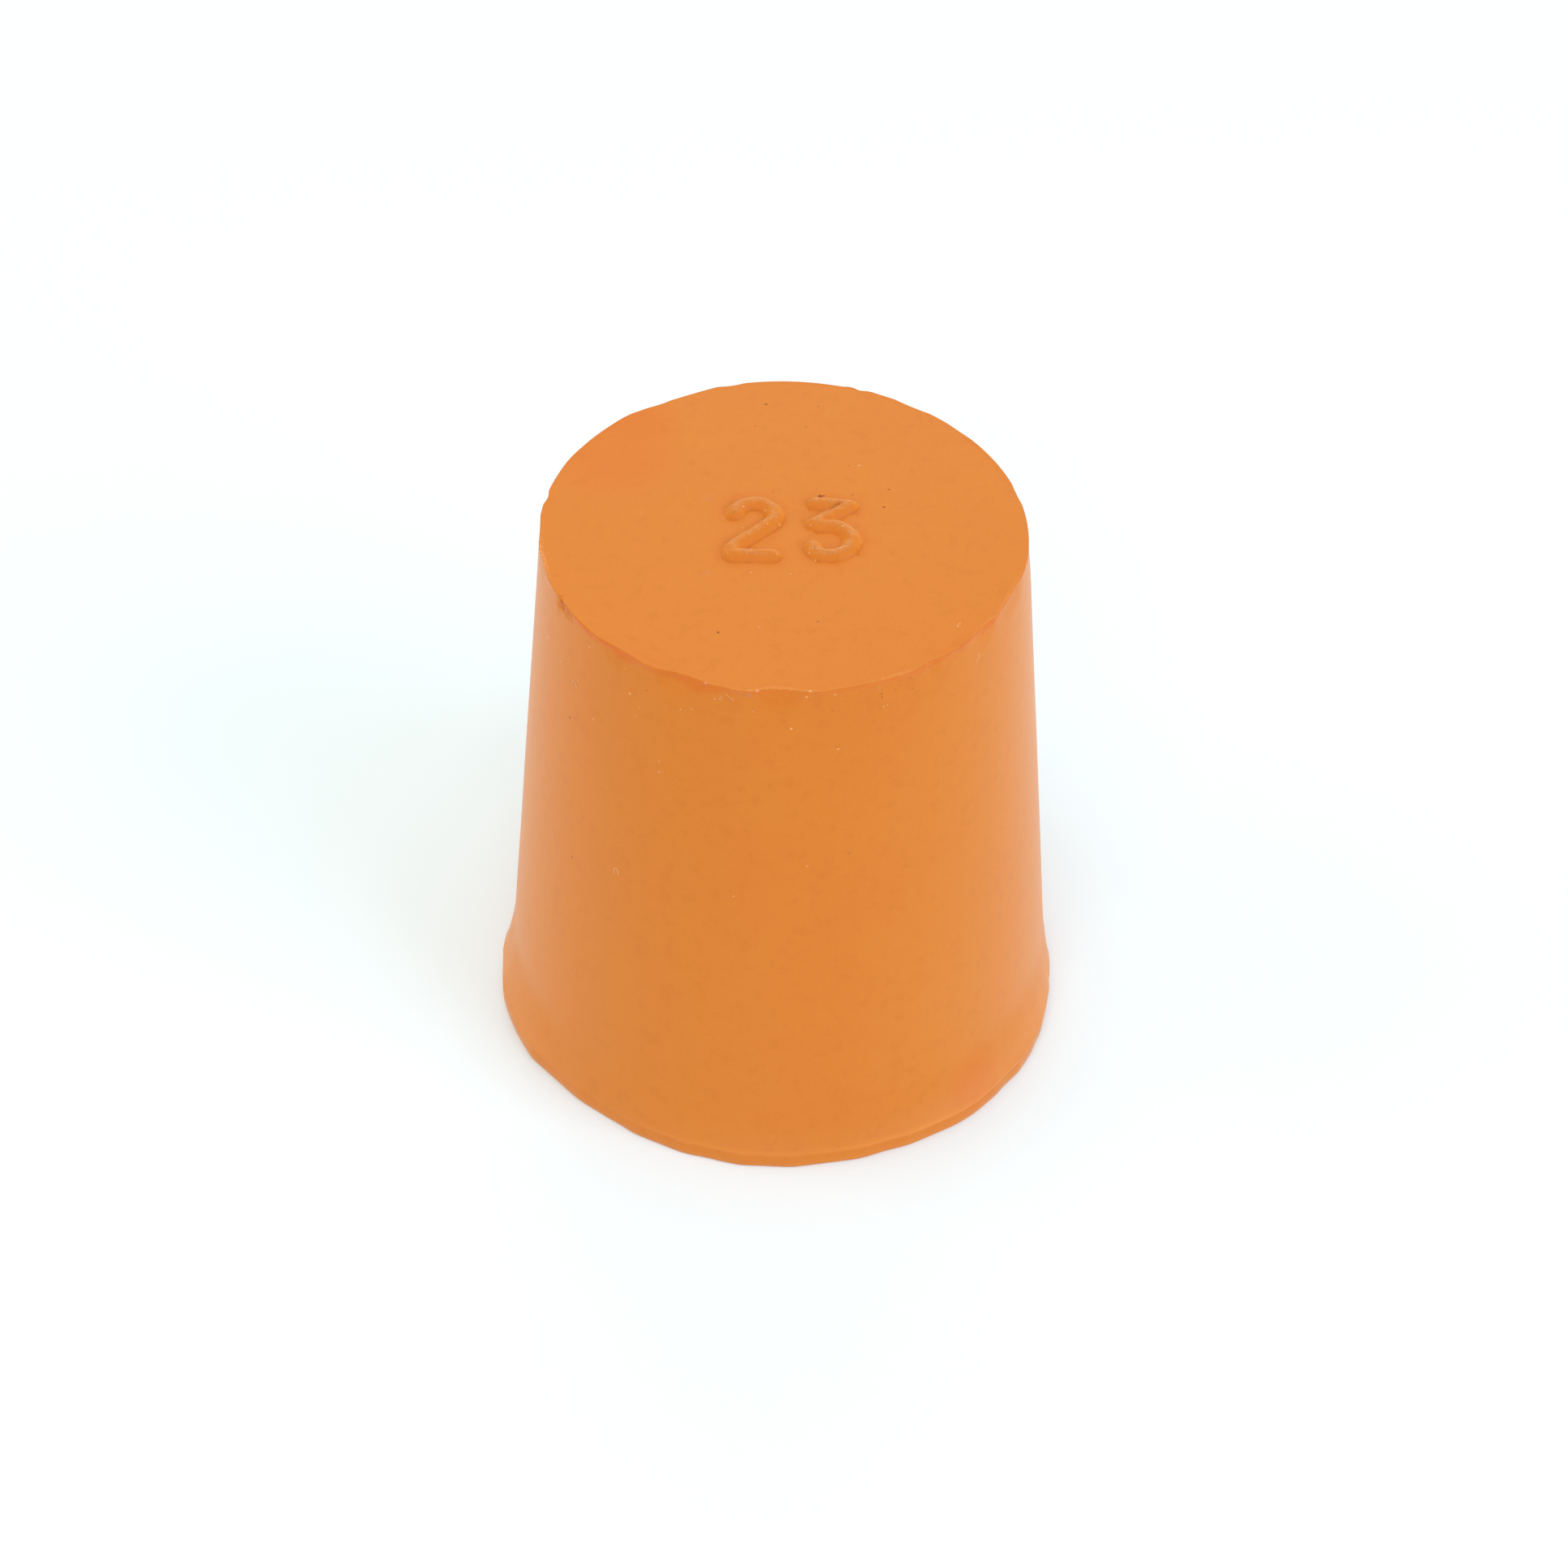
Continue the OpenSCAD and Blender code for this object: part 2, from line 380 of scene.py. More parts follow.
def flank_rows():
    """Straight flank with the rim's marks, and its flare down to the lip. From the
    burr the torn band leans in until it meets the flank. A scoop cuts straight down
    and runs out smoothly, the whole flank is a little full on the right, and the
    torn band and the nick are rough."""
    lower = HEIGHT - WALL_T - FLARE_ROWS
    drop = np.concatenate([BAND_ROWS, UPPER_ROWS, MIDDLE_ROWS, lower])[:, None]
    burr = BURR + marks(DIRECTION, RIM_BURRS)
    bite = rim_bite(DIRECTION)
    down = drop / band_height()
    lean = burr * np.clip(1 - down, 0, 1)
    scoop = bite * (1 - ease(0.1, 0.9 + 3 * bite, drop))
    full = marks(DIRECTION, FLANK_FULL) * ease(0, 3, drop)
    radius = SMALL_R + drop * SLOPE + lean - scoop + full
    height = HEIGHT - drop + 0 * radius
    radius = radius + flare(height)
    spot = np.stack([radius * COS, radius * SIN, height], -1)
    rough = TORN_ROUGH * (1 - ease(0.9, 1.3, down))
    crumbly = CRUMBLE * marks(DIRECTION, NICK_CRUMBLE) * (1 - ease(*NICK_END, drop))
    radius = radius + rough * ripple(spot, 0.45, seed=11)
    return radius + crumbly * (ripple(spot, 0.34, seed=14) - 0.4), height


FOOT_ROUND = 0.16
WALL_BULGE = 0.03  # how far the wall swells between the seam and the foot


def lip_rows():
    """The lip's wall, a little full in the middle below the seam, and its foot."""
    outline = flash_outline(DIRECTION)
    height = np.linspace(WALL_T, FOOT_ROUND, 12)[:, None]
    share = (height - FOOT_ROUND) / (WALL_T - FOOT_ROUND)
    full = WALL_BULGE * (4 * share * (1 - share) - share)
    stands = BEAD * marks(DIRECTION, SEAM_SHINE) + WALL_BULGE
    seam = stands * np.exp(-(((height - WALL_T) / (0.7 * BEAD_T)) ** 2))
    wall = outline + full + seam, height + 0 * outline
    foot = rounding((outline, FOOT_ROUND + 0 * outline), (outline, 0 * outline),
                    (outline - FOOT_ROUND, 0 * outline))
    return tuple(np.concatenate(rows) for rows in zip(wall, foot))


def rounding(start, corner, end):
    """Three rows of a quadratic curve that leaves start, heads for the corner and
    arrives at end: weights (1-s)^2, 2s(1-s) and s^2."""
    s = np.array([0.33, 0.67, 1.0])[:, None]
    weights = (1 - s) ** 2, 2 * s * (1 - s), s**2
    return tuple(sum(w * p[axis] for w, p in zip(weights, (start, corner, end))) for axis in (0, 1))


def base_rows():
    """Flat base: rings of ever smaller radius at height 0."""
    share = np.array([0.985, 0.95, 0.85, 0.65, 0.42, 0.2])[:, None]
    radius = share * flash_outline(DIRECTION)
    return radius, 0 * radius


# %% [markdown]
# ## The mesh
#
# All the rows are loops of the same length, so joining them is one rule: each
# point, its neighbour, and the two below make a face. The fine patch closes the
# top and one middle point closes the base, and the result is watertight.

# %% Put the skin together
def face_rings():
    """Rings from the patch's edge to the rim's inner edge. The share of the way
    grows slowly at both ends, as half a cosine wave."""
    share = (1 - np.cos(np.pi * np.arange(1, FACE_RINGS + 1) / (FACE_RINGS + 1))) / 2
    x, y = (grid.ravel()[patch_edge()] for grid in patch_points())
    rim = rim_outline(DIRECTION) - EDGE_ROUND
    share = share[:, None]
    return x + share * (rim * COS - x), y + share * (rim * SIN - y)


def skin_points():
    """All the points in mm: the patch, the face's rings, the section's rows and the
    middle of the base."""
    px, py = patch_points()
    fx, fy = face_rings()
    stretches = [edge_rows(), flank_rows(), lip_rows(), base_rows()]
    radius, height = (np.concatenate(rows) for rows in zip(*stretches))
    spot = np.stack([radius * COS, radius * SIN, height], -1)
    radius = radius + SKIN_WAVES * ripple(spot, 7.0, seed=12) * ease(0, 1, HEIGHT - height)
    face = [np.stack([x, y, face_height(x, y)], -1).reshape(-1, 3) for x, y in ((px, py), (fx, fy))]
    body = np.stack([radius * COS, radius * SIN, height], -1).reshape(-1, 3)
    rows = FACE_RINGS + len(radius)
    return np.concatenate(face + [body, [[0, 0, 0]]]), rows


def skin_faces(rows):
    """Quads of the patch, quads between one loop and the next, and the fan of
    triangles at the base, all facing outwards."""
    count = (PATCH_NX + 1) * (PATCH_NY + 1)
    number = np.arange(count).reshape(PATCH_NY + 1, PATCH_NX + 1)
    patch = np.stack([number[:-1, :-1], number[:-1, 1:], number[1:, 1:], number[1:, :-1]], -1)
    loops = np.concatenate([[patch_edge()], count + np.arange(rows * COLUMNS).reshape(rows, COLUMNS)])
    ahead = np.roll(loops, -1, axis=1)
    wall = np.stack([loops[:-1], loops[1:], ahead[1:], ahead[:-1]], -1)
    middle = np.full(COLUMNS, count + rows * COLUMNS)
    fan = np.stack([loops[-1], middle, ahead[-1]], -1)
    return np.concatenate([patch.reshape(-1, 4), wall.reshape(-1, 4)]), fan


def mesh_object(name, points, quads, triangles=None):
    """A smooth mesh object from points in mm and faces given as arrays of numbers."""
    triangles = np.zeros((0, 3), int) if triangles is None else triangles
    mesh = bpy.data.meshes.new(name)
    sizes = np.concatenate([np.full(len(quads), 4), np.full(len(triangles), 3)])
    mesh.vertices.add(len(points))
    mesh.vertices.foreach_set("co", (points * MM).astype(np.float32).ravel())
    mesh.loops.add(int(sizes.sum()))
    mesh.loops.foreach_set("vertex_index", np.concatenate([quads.ravel(), triangles.ravel()]))
    mesh.polygons.add(len(sizes))
    mesh.polygons.foreach_set("loop_start", np.concatenate([[0], np.cumsum(sizes)[:-1]]))
    mesh.polygons.foreach_set("use_smooth", np.ones(len(sizes), bool))
    mesh.update(calc_edges=True)
    mesh.validate()
    made = bpy.data.objects.new(name, mesh)
    bpy.context.scene.collection.objects.link(made)
    return made


points, rows = skin_points()
quads, fan = skin_faces(rows)
stopper = mesh_object("stopper_moulding", points, quads, fan)
print("stopper:", len(points), "points,", 2 * len(quads) + len(fan), "triangles")

# %% [markdown]
# ## Masks for the finish
#
# The finish needs to know where the rubber was torn, where the nick is, where the
# digits' crests, feet and creases run, and where the flank flares out to the seam
# and the lip. Those places follow the shape, so they are worked out from the same
# marks, point by point, and kept in the mesh as named attributes. Several of them
# carry painted light: painted shade on the torn band, beside and along the digits'
# feet and in the 3's notch, and painted highlights on the rim's edge, the seam and
# the flare.

# %% Masks, one number for each point
TORN_DEPTH = [
    (-134, 20, 0.55), (-144, 7, 0.5), (-108, 9, 0.2), (-90, 9, -0.15), (-50, 12, 0.3), (-30, 20, 0.5),
]
TORN_LEAST = 0.45  # how torn the band is where no mark changes it
# Where the painted highlight along the rim's edge shows, as a share
RIM_SHINE = [(-91, 13, 0.5), (-64, 8, 0.5), (-28, 18, 0.4), (-168, 11, 1.0)]
NICK_FULL = 0.8  # share of the nick's stain at which it is as strong as it gets
# Where the painted shadow in the 3's notch lies
NOTCH_AT = (2.32, 1.2)  # middle of the notch between the 3's bar and its diagonal
NOTCH_HEADING = 40
NOTCH_HALF = (0.48, 0.11)  # half its length and half its width
FACE_T = 0.1  # what lies less deep than this below the small end counts as its face
SIDE_IN = 0.4  # what lies less far in than this from the flank counts as the side


def direction_of(points):
    return np.degrees(np.arctan2(points[:, 1], points[:, 0]))


def radius_of(points):
    return np.hypot(points[:, 0], points[:, 1])


def on_top(points):
    """1 on the small end and its number, 0 elsewhere."""
    return points[:, 2] > HEIGHT - FACE_T


def torn_mask(points):
    """How torn the rubber is, which also sets the painted shade that stands in for
    the torn band's missing sheen: most on the band under the rim at the left front.
    """
    direction = direction_of(points)
    drop = HEIGHT - points[:, 2]
    down = drop / (BAND_T + marks(direction, RIM_BANDS))
    side = radius_of(points) > SMALL_R - SIDE_IN
    depth = TORN_LEAST + marks(direction, TORN_DEPTH)
    return ease(0, 0.04, drop) * (1 - ease(0.75, 1.2, down)) * depth * side


def rim_highlight_mask(points):
    """Painted highlight along the crisp edge of the face: most on the edge, 0 a fifth of a millimetre
    further in.
    """
    direction = direction_of(points)
    gap = rim_outline(direction) - radius_of(points)
    level = HEIGHT - points[:, 2] < 0.03
    return ease(0.22, 0.06, gap) * level * marks(direction, RIM_SHINE)


def nick_mask(points):
    """1 in the nick and on the stain that runs down below it."""
    drop = HEIGHT - points[:, 2]
    side = radius_of(points) > SMALL_R - SIDE_IN
    stain = marks(direction_of(points), NICK_STAIN).clip(0, NICK_FULL) / NICK_FULL
    return stain * ease(0.02, 0.1, drop) * (1 - ease(*NICK_END, drop)) * side


def ridge_mask(points):
    """1 on the crest of a digit, 0 on the face."""
    return ridge(number_distance(points[:, 0], points[:, 1])) * on_top(points)


def foot_shade_mask(points):
    """Painted shade on the face beside a digit's foot: 1 there, fading out over half a millimetre."""
    beside = number_distance(points[:, 0], points[:, 1]) / STROKE_FOOT - 1
    fade = np.where(beside > 0, 0.8, 0.12)
    return np.exp(-((beside / fade) ** 2)) * on_top(points)


def crease_shade_mask(points):
    """1 on the line where a digit's slope meets the face, where a thin painted shade line goes."""
    beside = number_distance(points[:, 0], points[:, 1]) - 0.96 * STROKE_FOOT
    return np.exp(-((beside / 0.05) ** 2)) * on_top(points)


def notch_shadow_mask(points):
    """1 in the notch between the 3's bar and its diagonal, where a painted shadow goes."""
    heading = np.radians(NOTCH_HEADING)
    x, y = points[:, 0] - NOTCH_AT[0], points[:, 1] - NOTCH_AT[1]
    along = x * np.cos(heading) + y * np.sin(heading)
    across = y * np.cos(heading) - x * np.sin(heading)
    length, width = NOTCH_HALF
    return np.exp(-((across / width) ** 2) - (along / length) ** 4) * on_top(points)


def flare_sheen_mask(points):
    """How far the skin stands off the straight flank over the lip's wall: 1 at half
    a millimetre. It carries a painted sheen that keeps the flank's pale grazing look
    on the upturned flare."""
    height = points[:, 2]
    stands = radius_of(points) - LARGE_R + height * SLOPE
    above_wall = ease(WALL_T - 0.05, WALL_T + 0.05, height) * (height < 10)
    return np.clip(stands / 0.5, 0, 1) * above_wall


def seam_highlight_mask(points):
    """1 on the seam just above the lip's wall, where it shows in front: a painted highlight along the light
    line there.
    """
    bell = np.exp(-(((points[:, 2] - WALL_T - 0.03) / (1.5 * BEAD_T)) ** 2))
    side = radius_of(points) > LARGE_R - 0.5
    return bell * side * marks(direction_of(points), SEAM_SHINE)


MASKS = {
    "torn": torn_mask, "rim": rim_highlight_mask, "nick": nick_mask, "ridge": ridge_mask, "foot": foot_shade_mask,
    "crease_shade": crease_shade_mask, "notch_shadow": notch_shadow_mask, "flare": flare_sheen_mask, "seam": seam_highlight_mask,
}
for name, mask in MASKS.items():
    values = mask(points)
    attribute = stopper.data.attributes.new(name, "FLOAT", "POINT")
    attribute.data.foreach_set("value", values.astype(np.float32))
    print(name, "reaches", round(float(values.max()), 2), "on", int((values > 0.5).sum()), "points")

# %% [markdown]
# ## A short way to write materials
#
# A material is a formula over the surface, and it is easier to check when it
# reads like one. A small class wraps a socket, so that sums on it add Math
# nodes, and one method makes any other node.

# %% Helpers for materials
class Wire:
    """An output socket. Arithmetic on it adds Math nodes to its finish."""

    def __init__(self, finish, socket):
        self.finish = finish
        self.socket = socket

    def math(self, operation, *others):
        return self.finish.node("ShaderNodeMath", {"operation": operation},
                                dict(enumerate((self, *others))))

    def __add__(self, other):
        return self.math("ADD", other)

    def __sub__(self, other):
        return self.math("SUBTRACT", other)

    def __rsub__(self, other):
        return (self * -1).math("ADD", other)

    def __mul__(self, other):
        return self.math("MULTIPLY", other)

    __radd__ = __add__

    def ease(self, start, end):
        """Smooth step from 0 at start to 1 at end, where start may be the greater."""
        inputs = {0: self, 1: start, 2: end, 3: 0.0, 4: 1.0}
        return self.finish.node("ShaderNodeMapRange", {"interpolation_type": "SMOOTHSTEP"}, inputs)


class Finish:
    """A material that is being written, with its shader and its object coordinates in mm."""

    def __init__(self, name, **constants):
        self.material = bpy.data.materials.new(name)
        self.material.use_nodes = True
        self.tree = self.material.node_tree
        self.shader = self.tree.nodes["Principled BSDF"]
        for socket, value in constants.items():
            self.shader.inputs[socket.replace("_", " ")].default_value = value
        metres = self.node("ShaderNodeTexCoord", out="Object")
        self.place = self.vector("SCALE", metres, scale=1 / MM)

    def node(self, kind, settings=None, inputs=None, out=0):
        """A node of any kind: its settings first, then its sockets, by name or number."""
        made = self.tree.nodes.new(kind)
        for setting, value in (settings or {}).items():
            setattr(made, setting, value)
        for socket, value in (inputs or {}).items():
            self.feed(made.inputs[socket], value)
        return Wire(self, made.outputs[out])

    def feed(self, socket, value):
        if isinstance(value, Wire):
            self.tree.links.new(value.socket, socket)
        else:
            socket.default_value = value

    def vector(self, operation, first, second=None, scale=None, out=0):
        inputs = {0: first}
        if second is not None:
            inputs[1] = second
        if scale is not None:
            inputs["Scale"] = scale
        return self.node("ShaderNodeVectorMath", {"operation": operation}, inputs, out)

    def mix(self, factor, first, second):
        """Mix of two colours."""
        return self.node("ShaderNodeMix", {"data_type": "RGBA"}, {0: factor, 6: first, 7: second}, 2)

    def noise(self, size, detail=3.0):
        """Cloudy noise whose blotches are about size mm across, near 0.5."""
        inputs = {"Vector": self.place, "Scale": 1 / size, "Detail": detail, "Roughness": 0.5}
        return self.node("ShaderNodeTexNoise", None, inputs)

    def grains(self, size, share, radius, seed):
        """Round specks of about radius mm, in this share of the cells of this size."""
        place = self.vector("ADD", self.place, (seed, 2.7 * seed, -1.3 * seed))
        cells = self.tree.nodes.new("ShaderNodeTexVoronoi")
        self.feed(cells.inputs["Vector"], place)
        cells.inputs["Scale"].default_value = 1 / size
        chance = self.node("ShaderNodeSeparateColor", None, {0: Wire(self, cells.outputs["Color"])})
        reach = chance.ease(1 - share, 1) * (radius / size)
        gap = Wire(self, cells.outputs["Distance"]) - reach
        return gap.ease(0.2 * radius / size, -0.2 * radius / size)

    def spots(self, places):
        """Round marks with a soft edge: each is (x, y, z, radius, strength) in mm."""
        total = None
        for x, y, z, radius, strength in places:
            gap = self.vector("DISTANCE", self.place, (x, y, z), out="Value")
            spot = gap.ease(radius, 0.25 * radius) * strength
            total = spot if total is None else total.math("MAXIMUM", spot)
        return total

    def attribute(self, name):
        return self.node("ShaderNodeAttribute", {"attribute_name": name}, None, "Fac")


def linear(red, green, blue):
    """A colour given as on a paint card, 0 to 255, as the linear light that Blender mixes."""
    share = np.array([red, green, blue]) / 255
    light = np.where(share < 0.04045, share / 12.92, ((share + 0.055) / 1.055) ** 2.4)
    return (*light.tolist(), 1.0)


# %% [markdown]
# ## The rubber
#
# Natural rubber of this kind is filled and coloured all through, so it has no
# paint to wear. Its skin is matt, with a grazing sheen where one looks along it,
# because the mould was sand-blasted and the surface carries a trace of bloom. On
# top come faint clouds, fine grain, warmer patches, a powdery bloom on the digits,
# a few smudges, scattered pale dust and dark specks. Painted light goes on as well:
# painted shade on the torn band, beside and along the digits' feet and in the 3's
# notch, painted light on the digits' slopes, and painted highlights on their crests,
# the rim's edge, the seam and the flare.

# %% Single marks on the rubber, in mm
def on_flank(direction, height):
    """Place on the flank in a direction and at a height."""
    radius = LARGE_R - height * SLOPE
    turn = math.radians(direction)
    return radius * math.cos(turn), radius * math.sin(turn), height


def on_face(x, y):
    """Place on the small end, on top of a digit where one stands there."""
    return x, y, float(face_height(np.array(x), np.array(y)))


def placed(on_the_face, on_the_flank):
    """One list of marks in space from those on the face and those on the flank."""
    top = [(*on_face(x, y), *size) for x, y, *size in on_the_face]
    side = [(*on_flank(direction, height), *size) for direction, height, *size in on_the_flank]
    return top + side


# A mark on the face is (x, y, radius, strength), and one on the flank is
# (direction, height, radius, strength).
FACE_DARK = [
    (1.7, 2.36, 0.16, 1), (1.86, 2.4, 0.08, 1), (3.25, 2.5, 0.08, 0.55), (4.73, 1.6, 0.09, 0.9),
    (5.0, 2.95, 0.1, 0.6), (-0.55, 2.64, 0.07, 0.4), (1.6, -6.75, 0.09, 0.6), (-2.9, -7.6, 0.1, 0.9),
    (-1, 9.6, 0.12, 0.7), (1.6, 9.5, 0.08, 0.6), (1.0, 7.8, 0.08, 0.6), (3.1, 4.75, 0.07, 0.5),
    (-1.5, 7.8, 0.07, 0.5), (1.16, 1.25, 0.07, 0.4), (-2.39, 0.67, 0.07, 0.3), (1.45, -1.82, 0.09, 0.35),
    (2.92, -1.63, 0.06, 0.45), (-1.05, -0.25, 0.06, 0.4), (3.47, -2.0, 0.12, 0.25),
    (3.45, 1.02, 0.08, 0.25), (1.2, -2.21, 0.05, 0.3),
]
FLANK_DARK = [
    (-144.9, 24, 0.1, 0.9), (-141, 15.8, 0.1, 0.7), (-27.5, 2.35, 0.09, 0.8), (-67.3, 29.2, 0.08, 0.55),
    (-67.2, 29.02, 0.07, 0.55), (-150.4, 29.85, 0.07, 0.7), (-149.6, 29.6, 0.06, 0.5),
    (-54.8, 29.7, 0.08, 0.5), (-59.5, 28.95, 0.06, 0.4), (-63.9, 29.22, 0.07, 0.35),
    (-60.3, 29.65, 0.09, 0.35), (-121.4, 28.53, 0.07, 0.45), (-78.6, 28.81, 0.08, 0.3),
    (-69.2, 27.79, 0.1, 0.25), (-75, 20.4, 0.06, 0.5), (-100.2, 18.2, 0.05, 0.5), (-117, 24.8, 0.04, 0.4),
]
FACE_PALE = [
    (3.6, 4.8, 0.06, 1), (7.95, -6.9, 0.06, 1), (8.05, -6.75, 0.05, 1), (-1.94, 1.19, 0.07, 0.8),
    (-0.92, 1.05, 0.07, 0.7), (-0.55, 0.74, 0.06, 0.7), (-0.91, 0.08, 0.07, 1), (-0.79, -0.2, 0.07, 0.5),
    (-0.21, 0.02, 0.06, 0.9), (1.24, -0.07, 0.06, 0.7), (2.76, -0.27, 0.06, 0.9),
    (2.51, -1.83, 0.05, 0.8), (2.64, -1.87, 0.05, 0.8), (2.76, -1.74, 0.06, 0.8), (1.2, -2.08, 0.06, 0.7),
    (1.22, -1.89, 0.05, 0.8), (1.48, -2.46, 0.06, 0.8), (-1.5, -3.37, 0.05, 0.9),
    (0.33, -3.43, 0.05, 0.8), (-1.94, -0.1, 0.05, 0.7), (-0.31, -2.3, 0.06, 0.6),
    (-2.6, -2.31, 0.05, 0.5), (-1.07, -7.2, 0.05, 0.6),
]
FLANK_PALE = [
    (-139, 29, 0.06, 1), (-136.4, 25.15, 0.05, 1), (-117.4, 24.2, 0.05, 1), (-117.4, 24.8, 0.05, 1),
    (-77.3, 26.6, 0.06, 1), (-87.7, 27.95, 0.08, 0.8), (-99.5, 17.9, 0.06, 0.8), (-84, 19.9, 0.06, 0.7),
    (-125.8, 27.9, 0.08, 0.8), (-84.4, 29.68, 0.08, 0.8), (-23.8, 25.6, 0.06, 0.8), (-83.6, 30, 0.09, 1),
    (-95.3, 29.98, 0.08, 0.9), (-97, 29.95, 0.07, 0.8), (-107, 29.98, 0.09, 0.5),
    (-94.3, 29.85, 0.06, 0.5), (-78, 29.67, 0.07, 0.6), (-96.2, 28.83, 0.05, 0.6),
    (-99.4, 28.53, 0.04, 0.6), (-104.7, 29.23, 0.06, 0.5), (-103.2, 29.25, 0.05, 0.4),
    (-112.6, 28.16, 0.05, 0.9), (-110.1, 28.38, 0.05, 0.8), (-123, 27.4, 0.05, 0.6),
    (-124, 26.8, 0.07, 0.4), (-66.8, 28.47, 0.05, 0.9), (-66, 28.5, 0.04, 0.8), (-165.4, 28.2, 0.08, 1),
    (-160.7, 29.6, 0.07, 0.9), (-158.3, 26.7, 0.07, 1), (-150.4, 26.5, 0.05, 0.9),
    (-127.6, 29.1, 0.05, 0.7), (-133.9, 29.3, 0.05, 0.6),
]
FACE_SMUDGES = [(-3.7, 2.2, 0.45, 0.3), (-3.5, -3.6, 0.4, 0.25)]
FLANK_SMUDGES = [
    (-99.3, 29.63, 0.14, 0.7), (-97.2, 29.69, 0.2, 0.7), (-107.1, 29.95, 0.15, 0.7),
    (-68, 29.54, 0.16, 0.6), (-102.8, 1, 0.16, 1),
]
FACE_WARM = [(-8.3, 5.5, 4.2, 0.5), (-7.4, 7.8, 3.0, 0.7)]
FLANK_WARM = [(-45, 1.8, 2.6, 0.6)]

# %% The rubber's finish
ORANGE = (220, 126, 38)
rubber = Finish("orange_rubber", Diffuse_Roughness=1.0, IOR=1.5, Specular_IOR_Level=0.12,
                Sheen_Weight=0.09, Sheen_Roughness=0.42)
rubber.shader.inputs["Sheen Tint"].default_value = (1, 1, 1, 1)
cloud = rubber.noise(4.5, detail=2)
mottle = rubber.noise(0.7, detail=4)
grain = rubber.noise(0.12, detail=3)
fine = rubber.noise(0.045, detail=2)
warm = rubber.spots(placed(FACE_WARM, FLANK_WARM))
# torn band: raw rubber's colour and painted shade, and a rougher surface
torn = rubber.attribute("torn")
# painted shade along the creases at the digits' feet, broken up by the mottle
crease_shade = rubber.attribute("crease_shade") * mottle.ease(0.42, 0.6)
ridge_height = rubber.attribute("ridge")
# painted light that lifts the digits' shaded slopes, strongest halfway up
painted_slope_light = ridge_height * (1 - ridge_height) * 4
# crests of the digits: powdery bloom, with a painted highlight
bloom_and_highlight = ridge_height.ease(0.6, 1.0) * mottle.ease(0.35, 0.65)
# painted highlight along the rim's edge, broken into dashes
shine = rubber.attribute("rim") * (0.3 + grain.ease(0.46, 0.62) * 0.9)
smudge = rubber.spots(placed(FACE_SMUDGES, FLANK_SMUDGES)) * mottle.ease(0.35, 0.65)
dark_specks_and_shadow = rubber.spots(placed(FACE_DARK, FLANK_DARK))
dark_specks_and_shadow = dark_specks_and_shadow.math("MAXIMUM", rubber.grains(1.5, 0.3, 0.035, seed=3.0) * 0.45)
# the notch adds a painted shadow to the dark specks
dark_specks_and_shadow = dark_specks_and_shadow.math("MAXIMUM", rubber.attribute("notch_shadow") * 0.7)
dust = rubber.grains(1.5, 0.25, 0.03, seed=11.0) * 0.8
dust = dust.math("MAXIMUM", rubber.spots(placed(FACE_PALE, FLANK_PALE)))

# Coats over the plain orange, first to last: how much of each shows, and its colour
coats = [
    (cloud.ease(0.35, 0.65) * 0.45, (219, 122, 40)),  # wide clouds
    (mottle.ease(0.5, 0.72) * 0.22, (203, 103, 24)),  # darker mottle
    (grain.ease(0.35, 0.65) * 0.2, (226, 132, 52)),
    (fine.ease(0.4, 0.6) * 0.24, (232, 142, 58)),
    (warm * 0.5, (222, 104, 20)),
    # torn band: raw rubber's deeper colour, darkened further as painted shade for the sheen the rough band
    # lacks
    (torn * (0.35 + mottle * 0.5), (225, 97, 2)),  # raw rubber, deeper in colour
    (rubber.attribute("nick") * (0.6 + mottle * 0.35), (213, 108, 0)),
    # painted shade on the face beside the digits' feet
    (rubber.attribute("foot") * (0.05 + mottle * 0.5), (217, 110, 14)),  # beside the digits
    # painted shade line along the creases at the digits' feet
    (crease_shade * 0.18, (186, 84, 14)),
    # painted light on the digits' slopes
    (painted_slope_light * 0.4, (234, 134, 30)),  # the digits' slopes
    # crests: powdery bloom and a painted highlight
    (bloom_and_highlight * 0.4, (214, 136, 78)),  # powdery bloom on the digits' crests
    (bloom_and_highlight * grain.ease(0.5, 0.62) * 0.25, (240, 180, 128)),
    # painted highlight along the rim's crisp edge
    (shine * 0.5, (250, 176, 108)),  # the rim's crisp edge
    # painted sheen on the upturned flare above the lip
    (rubber.attribute("flare") * 0.22, (246, 176, 122)),
    # painted highlight on the seam's light line
    (rubber.attribute("seam") * 0.3, (248, 162, 72)),
    (smudge * 0.45, (200, 146, 140)),
    # dark specks, and the painted shadow in the 3's notch
    (dark_specks_and_shadow * 0.85, (136, 30, 2)),
    (dust * 0.6, (250, 214, 178)),
]
colour = linear(*ORANGE)
for share, paint in coats:
    colour = rubber.mix(share, colour, linear(*paint))
rubber.feed(rubber.shader.inputs["Base Color"], colour)
rubber.feed(rubber.shader.inputs["Roughness"], 0.33 + grain * 0.08 + torn * 0.1)
relief = grain * 0.5 + mottle * 0.35 + rubber.noise(0.05, detail=2) * 0.15
bumps = {"Strength": 0.25, "Distance": 0.03 * MM, "Height": relief}
rubber.feed(rubber.shader.inputs["Normal"], rubber.node("ShaderNodeBump", None, bumps, "Normal"))
stopper.data.materials.append(rubber.material)
print("rubber:", len(rubber.tree.nodes), "nodes")

# %% [markdown]
# ## Lint
#
# A rubber stopper holds on to every hair of lint that touches it. The few that
# show are thin curls, so each is a tube carried along a short curved path that
# lies on the flank.

# %% Lint: thin tubes on the flank
LINT_OFF = 0.01  # how far a hair's middle lies off the flank
LINT_SIDES = 6
